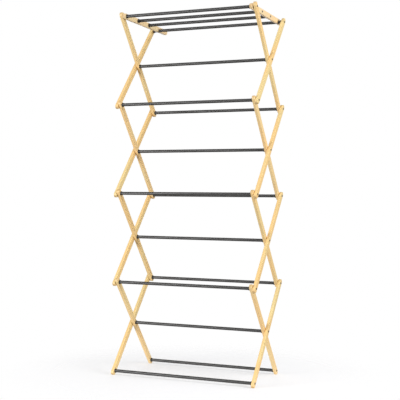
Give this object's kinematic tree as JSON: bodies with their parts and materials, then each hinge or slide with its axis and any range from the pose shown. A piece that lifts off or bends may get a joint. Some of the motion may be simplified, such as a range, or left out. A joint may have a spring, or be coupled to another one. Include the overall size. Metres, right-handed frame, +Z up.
{
  "type": "folding clothes drying rack",
  "caption": "Free-standing accordion drying rack: crossed wooden strips joined by dark metal hanging rods, with a top shelf that lifts off to let it fold.",
  "frame": {"origin": "on the floor, under the middle of the whole rack's depth and width", "axes": "+X along the hanging rods, left to right seen from the front; +Y from the front, where the shelf is hinged, to the back; +Z up"},
  "size_m": [0.6354, 0.4228, 1.5189],
  "materials": {
    "wood": "clear satin lacquer on pale straight-grained wood",
    "coated_rod": "satin charcoal powder coat",
    "black_plastic": "matt moulded plastic",
    "screw_steel": "blackened steel, satin"
  },
  "bodies": {
    "outer_4": {"bottom_front_rod": "coated_rod", "left_outer_strip_4": "wood", "outer_4_plugs": "black_plastic", "outer_4_screws": "screw_steel", "right_outer_strip_4": "wood"},
    "inner_4": {"bottom_back_rod": "coated_rod", "centre_rod_4": "coated_rod", "front_rod_3": "coated_rod", "inner_4_plugs": "black_plastic", "inner_4_screws": "screw_steel", "inner_4_washers": "black_plastic", "left_inner_strip_4": "wood", "right_inner_strip_4": "wood"},
    "outer_3": {"left_outer_strip_3": "wood", "right_outer_strip_3": "wood"},
    "inner_3": {"back_rod_3": "coated_rod", "centre_rod_3": "coated_rod", "front_rod_2": "coated_rod", "inner_3_plugs": "black_plastic", "inner_3_screws": "screw_steel", "inner_3_washers": "black_plastic", "left_inner_strip_3": "wood", "right_inner_strip_3": "wood"},
    "outer_2": {"left_outer_strip_2": "wood", "right_outer_strip_2": "wood"},
    "inner_2": {"back_rod_2": "coated_rod", "centre_rod_2": "coated_rod", "front_rod_1": "coated_rod", "inner_2_plugs": "black_plastic", "inner_2_screws": "screw_steel", "inner_2_washers": "black_plastic", "left_inner_strip_2": "wood", "right_inner_strip_2": "wood"},
    "outer_1": {"left_outer_strip_1": "wood", "outer_1_plugs": "black_plastic", "outer_1_screws": "screw_steel", "right_outer_strip_1": "wood", "top_back_rod": "coated_rod"},
    "inner_1": {"back_rod_1": "coated_rod", "centre_rod_1": "coated_rod", "inner_1_plugs": "black_plastic", "inner_1_screws": "screw_steel", "inner_1_washers": "black_plastic", "left_inner_strip_1": "wood", "right_inner_strip_1": "wood"},
    "top_front_rod": {"top_front_plugs": "black_plastic", "top_front_rod": "coated_rod", "top_front_screws": "screw_steel", "top_front_spacers": "black_plastic"},
    "shelf": {"left_shelf_arm": "wood", "right_shelf_arm": "wood", "shelf_plugs": "black_plastic", "shelf_rod_1": "coated_rod", "shelf_rod_2": "coated_rod", "shelf_screws": "screw_steel"}
  },
  "joints": [
    {"name": "fold", "type": "hinge", "parent": "outer_4", "child": "inner_4", "pos_m": [0, -0.03445, 0.20259], "axis": [1, 0, 0], "range_deg": [0, 92.5]},
    {"name": "back_corner_3", "type": "hinge", "parent": "outer_4", "child": "inner_3", "pos_m": [0, 0.12355, 0.38809], "axis": [1, 0, 0], "range_deg": [0, 92.5]},
    {"name": "front_corner_3", "type": "hinge", "parent": "inner_4", "child": "outer_3", "pos_m": [0, -0.19245, 0.38809], "axis": [1, 0, 0], "range_deg": [-92.5, 0]},
    {"name": "back_corner_2", "type": "hinge", "parent": "outer_3", "child": "inner_2", "pos_m": [0, 0.12355, 0.75909], "axis": [1, 0, 0], "range_deg": [0, 92.5]},
    {"name": "front_corner_2", "type": "hinge", "parent": "inner_3", "child": "outer_2", "pos_m": [0, -0.19245, 0.75909], "axis": [1, 0, 0], "range_deg": [-92.5, 0]},
    {"name": "back_corner_1", "type": "hinge", "parent": "outer_2", "child": "inner_1", "pos_m": [0, 0.12355, 1.13009], "axis": [1, 0, 0], "range_deg": [0, 92.5]},
    {"name": "front_corner_1", "type": "hinge", "parent": "inner_2", "child": "outer_1", "pos_m": [0, -0.19245, 1.13009], "axis": [1, 0, 0], "range_deg": [-92.5, 0]},
    {"name": "shelf_follow", "type": "hinge", "parent": "inner_1", "child": "top_front_rod", "pos_m": [0, -0.19245, 1.50109], "axis": [1, 0, 0], "range_deg": [0, 46.25]},
    {"name": "shelf_lift", "type": "hinge", "parent": "top_front_rod", "child": "shelf", "pos_m": [0, -0.19245, 1.50109], "axis": [1, 0, 0], "range_deg": [0, 85]}
  ],
  "couplings": [
    {"joint": "back_corner_3", "follows": "fold", "ratio": 1},
    {"joint": "front_corner_3", "follows": "fold", "ratio": -1},
    {"joint": "back_corner_2", "follows": "fold", "ratio": 1},
    {"joint": "front_corner_2", "follows": "fold", "ratio": -1},
    {"joint": "back_corner_1", "follows": "fold", "ratio": 1},
    {"joint": "front_corner_1", "follows": "fold", "ratio": -1},
    {"joint": "shelf_follow", "follows": "fold", "ratio": 0.5}
  ]
}
